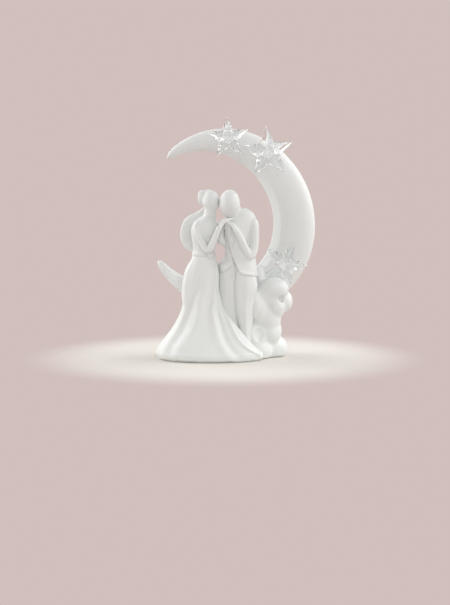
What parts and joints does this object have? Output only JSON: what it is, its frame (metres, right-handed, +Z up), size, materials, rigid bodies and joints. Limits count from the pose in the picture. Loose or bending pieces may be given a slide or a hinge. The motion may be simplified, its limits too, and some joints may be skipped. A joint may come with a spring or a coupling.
{
  "type": "cake topper",
  "caption": "Standing porcelain wedding couple in front of a crescent moon on a cloud bank, with clear faceted stars glued to the moon.",
  "frame": {"origin": "on the flat underside of the sole, below the couple, a little behind the front of the hem", "axes": "+Z up, -Y to the front where the couple faces, +X to the viewer's right"},
  "size_m": [0.1069, 0.0625, 0.162],
  "materials": {
    "porcelain": "unglazed white bisque, fine and matte",
    "clear_acrylic": "clear polished acrylic with sharp facets",
    "clear_glue": "clear set glue"
  },
  "bodies": {
    "root": {"base_plate": "porcelain", "moon": "porcelain", "bride_skirt": "porcelain", "groom_left_leg": "porcelain", "groom_right_leg": "porcelain", "cloud_front": "porcelain", "cloud_back": "porcelain", "bride_bodice": "porcelain", "groom_jacket": "porcelain", "bride_head": "porcelain", "groom_head": "porcelain", "bride_hair_bun": "porcelain", "bride_near_arm": "porcelain", "groom_near_arm": "porcelain", "groom_far_arm": "porcelain", "bride_far_arm": "porcelain", "bride_veil": "porcelain", "star_upper_left": "clear_acrylic", "star_upper_right": "clear_acrylic", "star_lower": "clear_acrylic", "glue_star_upper_left": "clear_glue", "glue_star_upper_right": "clear_glue", "glue_star_lower": "clear_glue"}
  },
  "joints": []
}
